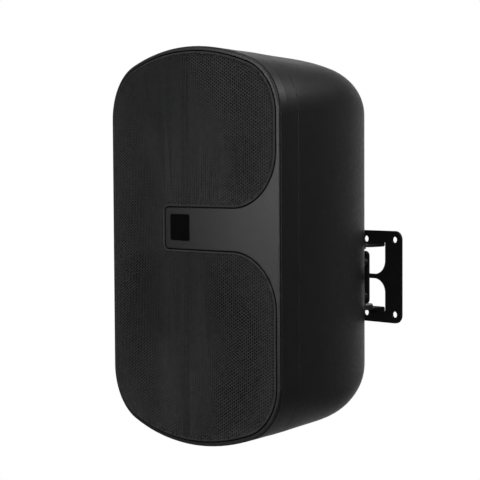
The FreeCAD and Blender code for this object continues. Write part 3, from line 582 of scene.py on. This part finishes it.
def make_edge():
    """The margin of the sheet with its own holes, its fold and its lip."""
    rim = border(cells)
    follow = dict(rim.tolist())
    ring = [int(rim[0, 0])]
    while follow[ring[-1]] != ring[0]:
        ring.append(follow[ring[-1]])
    inner = lattice[ring]
    loop = sheet_edge
    ahead = np.roll(loop, -1, 0) - np.roll(loop, 1, 0)
    ahead /= np.linalg.norm(ahead, axis=1)[:, None]
    out = np.stack([ahead[:, 1], -ahead[:, 0]], 1)
    n_loop = len(loop)
    both = [loop]
    sides = [[i, (i + 1) % n_loop] for i in range(n_loop)]
    walls = []
    count = n_loop
    for hole in [inner] + list(margin_holes[:, ::-1]):
        at = count + np.arange(len(hole))
        walls.append(np.stack([at, np.roll(at, -1)], 1))
        both.append(hole)
        count += len(hole)
    both = np.concatenate(both)
    walls = np.concatenate(walls)
    sides += walls.tolist()
    band = delaunay_2d_cdt([Vector(p) for p in both], sides, [], 2, 1e-5)
    assert len(band[0]) == len(both)
    band = oriented(band[2], both)
    profile = []
    for step in range(1, FOLD_STEPS + 1):
        turn = math.pi / 2 * step / FOLD_STEPS
        profile.append((FOLD_R * math.sin(turn), FOLD_R * (1 - math.cos(turn))))
    profile += [(FOLD_R, GRILLE_LIP), (FOLD_R - SHEET_T, GRILLE_LIP), (FOLD_R - SHEET_T, FOLD_R)]
    points = [on_bow(both, 0.0), on_bow(both, SHEET_T)]
    flat = [both, both]
    rings = [np.arange(n_loop)]
    first = 2 * len(both)
    spread = 0.0
    for place, (reach, depth) in enumerate(profile):
        spread += MAP_FOLD_STEP if place < FOLD_STEPS + 1 else MAP_LIP_STEP
        points.append(on_bow(loop + out * reach, depth))
        flat.append(loop + out * spread)
        rings.append(first + place * n_loop + np.arange(n_loop))
    rings.append(len(both) + np.arange(n_loop))
    faces = list(band)
    for near, far in zip(rings, rings[1:FOLD_STEPS + 1]):
        faces += np.stack([near, far, np.roll(far, -1), np.roll(near, -1)], 1).tolist()
    # Faces from here on, the lip, back and hole walls, get the painted shade
    n_front = len(faces)
    for near, far in zip(rings[FOLD_STEPS:], rings[FOLD_STEPS + 1:]):
        faces += np.stack([near, far, np.roll(far, -1), np.roll(near, -1)], 1).tolist()
    faces += [[i + len(both) for i in reversed(face)] for face in band]
    near, far = walls.T
    faces += np.stack([near, far, far + len(both), near + len(both)], 1).tolist()
    make_piece("grille_edge", np.concatenate(points), faces, np.concatenate(flat), "black_sheet", n_front)


make_edge()


# Soft rings of the drivers, cut into sectors

def soft_ring(name, height, sectors):
    """Sectors of a ring, cut about the driver's axis, which take the ring's place."""
    node = frame["nodes"][name]
    middle = Vector((0.0, 0.0, height / MM_PER_M))
    half = math.pi / sectors
    for number in range(sectors):
        turn = 2 * half * number
        ring = bmesh.new()
        ring.from_mesh(node.data)
        ring.transform(node.matrix_world)
        bmesh.ops.remove_doubles(ring, verts=ring.verts, dist=1e-6)
        for side in (-1, 1):
            end = turn + side * half
            away = side * Vector((-math.sin(end), 0.0, math.cos(end)))
            bmesh.ops.bisect_plane(ring, geom=ring.verts[:] + ring.edges[:] + ring.faces[:],
                                   plane_co=middle, plane_no=away, clear_outer=True)
        bmesh.ops.holes_fill(ring, edges=[edge for edge in ring.edges if edge.is_boundary], sides=0)
        mesh = bpy.data.meshes.new(f"{name}_{number}")
        ring.to_mesh(mesh)
        ring.free()
        mesh.materials.append(looks[slots[name]])
        mesh.shade_smooth()
        mesh.set_sharp_from_angle(angle=SHARP_ANGLE)
        piece = bpy.data.objects.new(mesh.name, mesh)
        bpy.context.scene.collection.objects.link(piece)
        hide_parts(name)
        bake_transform(piece)


soft_ring("woofer_surround", WOOFER_Z,
          SURROUND_SECTORS)
soft_ring("woofer_spider", WOOFER_Z, SPIDER_SECTORS)
soft_ring("tweeter_surround", TWEETER_Z,
          TWEETER_SECTORS)


# Floor, light and camera

def plane(name, centre, size):
    half = size / 2
    mesh = bpy.data.meshes.new(name)
    mesh.from_pydata([(-half, -half, 0), (half, -half, 0), (half, half, 0), (-half, half, 0)], [],
                     [(0, 1, 2, 3)])
    made = bpy.data.objects.new(name, mesh)
    made.location = centre
    bpy.context.scene.collection.objects.link(made)
    return made


def pale_floor():
    """Diffuse pale floor that the camera sees lifted towards white."""
    material = bpy.data.materials.new("floor")
    material.use_nodes = True
    tree = material.node_tree
    shader = tree.nodes["Principled BSDF"]
    shader.inputs["Base Color"].default_value = (FLOOR_GREY, FLOOR_GREY, FLOOR_GREY, 1.0)
    shader.inputs["Roughness"].default_value = 0.9
    shader.inputs["Specular IOR Level"].default_value = 0.1
    shader.inputs["Emission Color"].default_value = (1.0, 1.0, 1.0, 1.0)
    path = tree.nodes.new("ShaderNodeLightPath")
    place = tree.nodes.new("ShaderNodeTexCoord")
    reach = tree.nodes.new("ShaderNodeVectorMath")
    reach.operation = "LENGTH"
    spread = tree.nodes.new("ShaderNodeMapRange")
    spread.inputs["From Min"].default_value = 0.5
    spread.inputs["From Max"].default_value = 1.5
    spread.inputs["To Min"].default_value = 0.35
    spread.inputs["To Max"].default_value = 1.0
    lift = tree.nodes.new("ShaderNodeMath")
    lift.operation = "MULTIPLY"
    tree.links.new(place.outputs["Object"], reach.inputs[0])
    tree.links.new(reach.outputs["Value"], spread.inputs["Value"])
    tree.links.new(path.outputs["Is Camera Ray"], lift.inputs[0])
    tree.links.new(spread.outputs["Result"], lift.inputs[1])
    tree.links.new(lift.outputs["Value"], shader.inputs["Emission Strength"])
    return material


floor = plane("floor", (0.0, -0.1, cad_box[0].z - FLOOR_DROP), FLOOR_SIZE)
floor.data.materials.append(pale_floor())

world = bpy.data.worlds.new("world")
bpy.context.scene.world = world
world.use_nodes = True
nodes = world.node_tree.nodes
links = world.node_tree.links


def world_light(strength):
    made = nodes.new("ShaderNodeBackground")
    made.inputs["Color"].default_value = (1.0, 1.0, 1.0, 1.0)
    made.inputs["Strength"].default_value = strength
    return made


ambient = world_light(AMBIENT)
seen = world_light(WHITE)
path = nodes.new("ShaderNodeLightPath")
place = nodes.new("ShaderNodeTexCoord")
toward = nodes.new("ShaderNodeVectorMath")
toward.operation = "DOT_PRODUCT"
toward.inputs[1].default_value = (-math.sin(math.radians(YAW)), math.cos(math.radians(YAW)), 0.0)
behind = nodes.new("ShaderNodeMapRange")
behind.interpolation_type = "SMOOTHSTEP"
behind.inputs["From Min"].default_value = 0.75
behind.inputs["From Max"].default_value = 0.98
behind.inputs["To Max"].default_value = 0.8
gloss = nodes.new("ShaderNodeMath")
gloss.operation = "MULTIPLY"
shown = nodes.new("ShaderNodeMath")
shown.operation = "MAXIMUM"
mix = nodes.new("ShaderNodeMixShader")
links.new(place.outputs["Generated"], toward.inputs[0])
links.new(toward.outputs["Value"], behind.inputs["Value"])
links.new(behind.outputs["Result"], gloss.inputs[0])
links.new(path.outputs["Is Glossy Ray"], gloss.inputs[1])
links.new(gloss.outputs["Value"], shown.inputs[0])
links.new(path.outputs["Is Camera Ray"], shown.inputs[1])
links.new(shown.outputs["Value"], mix.inputs["Fac"])
links.new(ambient.outputs["Background"], mix.inputs[1])
links.new(seen.outputs["Background"], mix.inputs[2])
links.new(mix.outputs["Shader"], nodes["World Output"].inputs["Surface"])


def softbox(name, place, aim, size, power):
    lamp = bpy.data.lights.new(name, "AREA")
    lamp.shape = "RECTANGLE"
    lamp.size = size[0]
    lamp.size_y = size[1]
    lamp.energy = power
    made = bpy.data.objects.new(name, lamp)
    made.location = place
    made.rotation_mode = "QUATERNION"
    made.rotation_quaternion = (Vector(aim) - Vector(place)).to_track_quat("-Z", "Y")
    bpy.context.scene.collection.objects.link(made)


softbox("overhead", (0.15, 0.0, 1.6), MIDDLE, (1.6, 1.4), 18.0)
softbox("key", (-0.75, -1.75, 0.45), MIDDLE, (0.6, 1.2), 18.0)
softbox("fill", (1.45, -1.5, 0.3), MIDDLE, (0.5, 0.8), 24.0)
softbox("side", (0.75, 0.65, 0.9), MIDDLE, (0.7, 0.5), 5.0)

camera = bpy.data.objects.new("camera", bpy.data.cameras.new("camera"))
bpy.context.scene.collection.objects.link(camera)
camera.data.lens = LENS
camera.data.sensor_width = SENSOR
yaw, down, roll = (math.radians(angle) for angle in (YAW, PITCH_DOWN, ROLL))
back = Vector((math.sin(yaw) * math.cos(down), -math.cos(yaw) * math.cos(down), math.sin(down)))
right = (-back).cross(Vector((0, 0, 1))).normalized()
up = right.cross(-back)
turned_right = math.cos(roll) * right + math.sin(roll) * up
turned_up = math.cos(roll) * up - math.sin(roll) * right
camera.matrix_world = Matrix.Translation(TARGET + DISTANCE * back) @ Matrix((
    turned_right, turned_up, back)).transposed().to_4x4()
bpy.context.scene.camera = camera
bpy.context.scene.view_settings.view_transform = "Standard"
